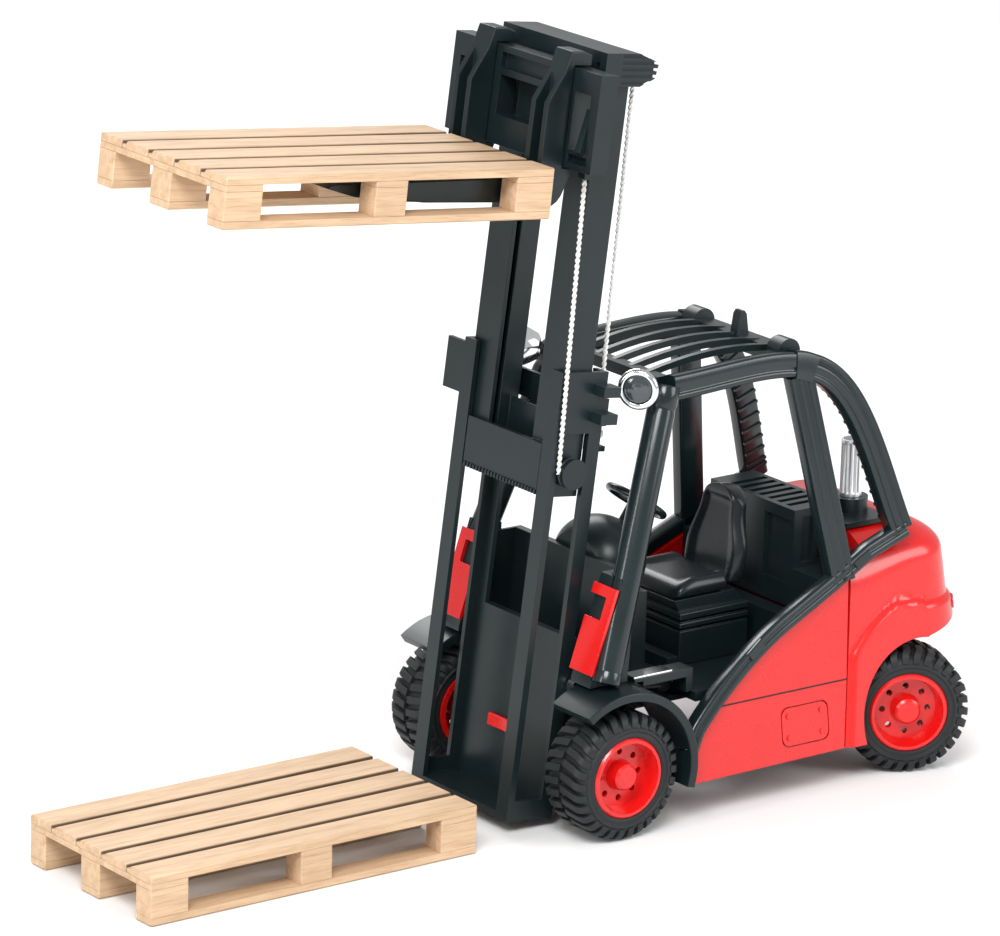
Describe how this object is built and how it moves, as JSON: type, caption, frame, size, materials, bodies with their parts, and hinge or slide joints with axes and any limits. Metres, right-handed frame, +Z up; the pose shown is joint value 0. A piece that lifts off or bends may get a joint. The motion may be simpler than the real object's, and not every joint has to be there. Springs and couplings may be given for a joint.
{
  "type": "toy forklift",
  "caption": "Toy forklift with a tilting telescopic mast, sliding forks, steered rear wheels, an open cab and a set of slatted pallets.",
  "frame": {"origin": "middle of the whole set's box, on the floor it stands on", "axes": "-X the way the truck drives and its forks point, +Y its right side, +Z up"},
  "size_m": [0.2916, 0.1028, 0.2292],
  "materials": {
    "black_plastic": "semi-gloss moulded",
    "red_plastic": "gloss moulded",
    "chrome": "plated",
    "tyre_rubber": "matte",
    "pallet_wood": "sawn, unpainted",
    "cord": "twisted cotton",
    "lamp_lens": "gloss",
    "seat_plastic": "satin"
  },
  "bodies": {
    "truck": {"chassis": "black_plastic", "cab_tub": "black_plastic", "side_panel_left": "red_plastic", "side_panel_right": "red_plastic", "hatch_left": "red_plastic", "hatch_right": "red_plastic", "counterweight": "red_plastic", "engine_cover": "black_plastic", "fender_left": "black_plastic", "fender_right": "black_plastic", "cowl": "black_plastic", "cowl_trims": "red_plastic", "dashboard": "black_plastic", "seat_base": "seat_plastic", "seat_cushion": "seat_plastic", "seat_back": "seat_plastic", "step_plates": "chrome", "a_pillar_left": "black_plastic", "a_pillar_right": "black_plastic", "b_pillar_left": "black_plastic", "b_pillar_right": "black_plastic", "roof_rail_left": "black_plastic", "roof_rail_right": "black_plastic", "rear_arc_left": "black_plastic", "rear_arc_right": "black_plastic", "sill_rail_left": "black_plastic", "sill_rail_right": "black_plastic", "roof_grille": "black_plastic", "lamps": "chrome", "lamp_lenses": "lamp_lens", "exhaust": "chrome", "front_axle": "chrome", "rear_axle": "black_plastic"},
    "wheel_front_left": {"rim_front_left": "red_plastic", "tyre_front_left": "tyre_rubber"},
    "wheel_front_right": {"rim_front_right": "red_plastic", "tyre_front_right": "tyre_rubber"},
    "wheel_rear_left": {"rim_rear_left": "red_plastic", "tyre_rear_left": "tyre_rubber"},
    "wheel_rear_right": {"rim_rear_right": "red_plastic", "tyre_rear_right": "tyre_rubber"},
    "knuckle_left": {"knuckle_left": "black_plastic"},
    "knuckle_right": {"knuckle_right": "black_plastic"},
    "tie_rod": {"tie_rod": "chrome"},
    "steering_wheel": {"steering_wheel": "black_plastic"},
    "outer_mast": {"outer_mast": "black_plastic", "lift_cord": "cord"},
    "tilt_barrels": {"tilt_barrels": "black_plastic"},
    "tilt_rods": {"tilt_rods": "chrome"},
    "inner_mast": {"inner_mast": "black_plastic", "crosshead": "black_plastic", "cord_pulleys": "black_plastic"},
    "carriage": {"carriage": "black_plastic", "return_cord": "cord"},
    "fork_left": {"fork_left": "black_plastic"},
    "fork_right": {"fork_right": "black_plastic"},
    "pallet_a": {"pallet_a_deck": "pallet_wood", "pallet_a_base": "pallet_wood"},
    "pallet_b": {"pallet_b_deck": "pallet_wood", "pallet_b_base": "pallet_wood"}
  },
  "joints": [
    {"name": "spin_front_left", "type": "hinge", "parent": "truck", "child": "wheel_front_left", "pos_m": [0.00841, -0.038, 0.019], "axis": [0, 1, 0], "continuous": true},
    {"name": "spin_front_right", "type": "hinge", "parent": "truck", "child": "wheel_front_right", "pos_m": [0.00841, 0.038, 0.019], "axis": [0, 1, 0], "continuous": true},
    {"name": "steer_left", "type": "hinge", "parent": "truck", "child": "knuckle_left", "pos_m": [0.12241, -0.0292, 0.019], "axis": [0, 0, 1], "range_deg": [0, 50]},
    {"name": "steer_right", "type": "hinge", "parent": "truck", "child": "knuckle_right", "pos_m": [0.12241, 0.0292, 0.019], "axis": [0, 0, 1], "range_deg": [0, 50]},
    {"name": "tie_rod_pivot", "type": "hinge", "parent": "knuckle_left", "child": "tie_rod", "pos_m": [0.13492, -0.02841, 0.022], "axis": [0, 0, 1], "range_deg": [-62.68, 0.5]},
    {"name": "spin_rear_left", "type": "hinge", "parent": "knuckle_left", "child": "wheel_rear_left", "pos_m": [0.12241, -0.0292, 0.019], "axis": [0.4226, 0.9063, 0], "continuous": true},
    {"name": "spin_rear_right", "type": "hinge", "parent": "knuckle_right", "child": "wheel_rear_right", "pos_m": [0.12241, 0.0292, 0.019], "axis": [0.4226, 0.9063, 0], "continuous": true},
    {"name": "steering_wheel_turn", "type": "hinge", "parent": "truck", "child": "steering_wheel", "pos_m": [0.04441, 0, 0.085], "axis": [0.5736, 0, 0.8192], "continuous": true},
    {"name": "mast_tilt", "type": "hinge", "parent": "truck", "child": "outer_mast", "pos_m": [0.00841, 0, 0.019], "axis": [0, 1, 0], "range_deg": [-7, 0]},
    {"name": "tilt_barrel_pivot", "type": "hinge", "parent": "truck", "child": "tilt_barrels", "pos_m": [0.03541, 0, 0.038], "axis": [0, 1, 0], "range_deg": [-1.91, 0.3]},
    {"name": "tilt_rod_slide", "type": "slide", "parent": "tilt_barrels", "child": "tilt_rods", "axis": [-0.9931, 0, 0.1171], "range_m": [-0.0003, 0.00295]},
    {"name": "mast_lift", "type": "slide", "parent": "outer_mast", "child": "inner_mast", "axis": [0.1219, 0, 0.9925], "range_m": [-0.081, 0], "deforming": ["lift_cord"]},
    {"name": "carriage_lift", "type": "slide", "parent": "inner_mast", "child": "carriage", "axis": [0.1219, 0, 0.9925], "range_m": [-0.081, 0], "deforming": ["return_cord"]},
    {"name": "fork_slide_left", "type": "slide", "parent": "carriage", "child": "fork_left", "axis": [0, 1, 0], "range_m": [-0.0004, 0.007]},
    {"name": "fork_slide_right", "type": "slide", "parent": "carriage", "child": "fork_right", "axis": [0, -1, 0], "range_m": [-0.0004, 0.007]},
    {"name": "pallet_lift_off", "type": "slide", "parent": "carriage", "child": "pallet_a", "axis": [0.1219, 0, 0.9925], "range_m": [0, 0.03]},
    {"name": "pallet_pull", "type": "slide", "parent": "truck", "child": "pallet_b", "axis": [-1, 0, 0], "range_m": [0, 0.06]}
  ],
  "couplings": [
    {"joint": "steer_right", "follows": "steer_left", "ratio": 1},
    {"joint": "tie_rod_pivot", "follows": "steer_left", "ratio": -1.2436},
    {"joint": "tilt_barrel_pivot", "follows": "mast_tilt", "ratio": 0.22963},
    {"joint": "tilt_rod_slide", "follows": "mast_tilt", "m_per_rad": -0.021694},
    {"joint": "carriage_lift", "follows": "mast_lift", "ratio": 1}
  ]
}
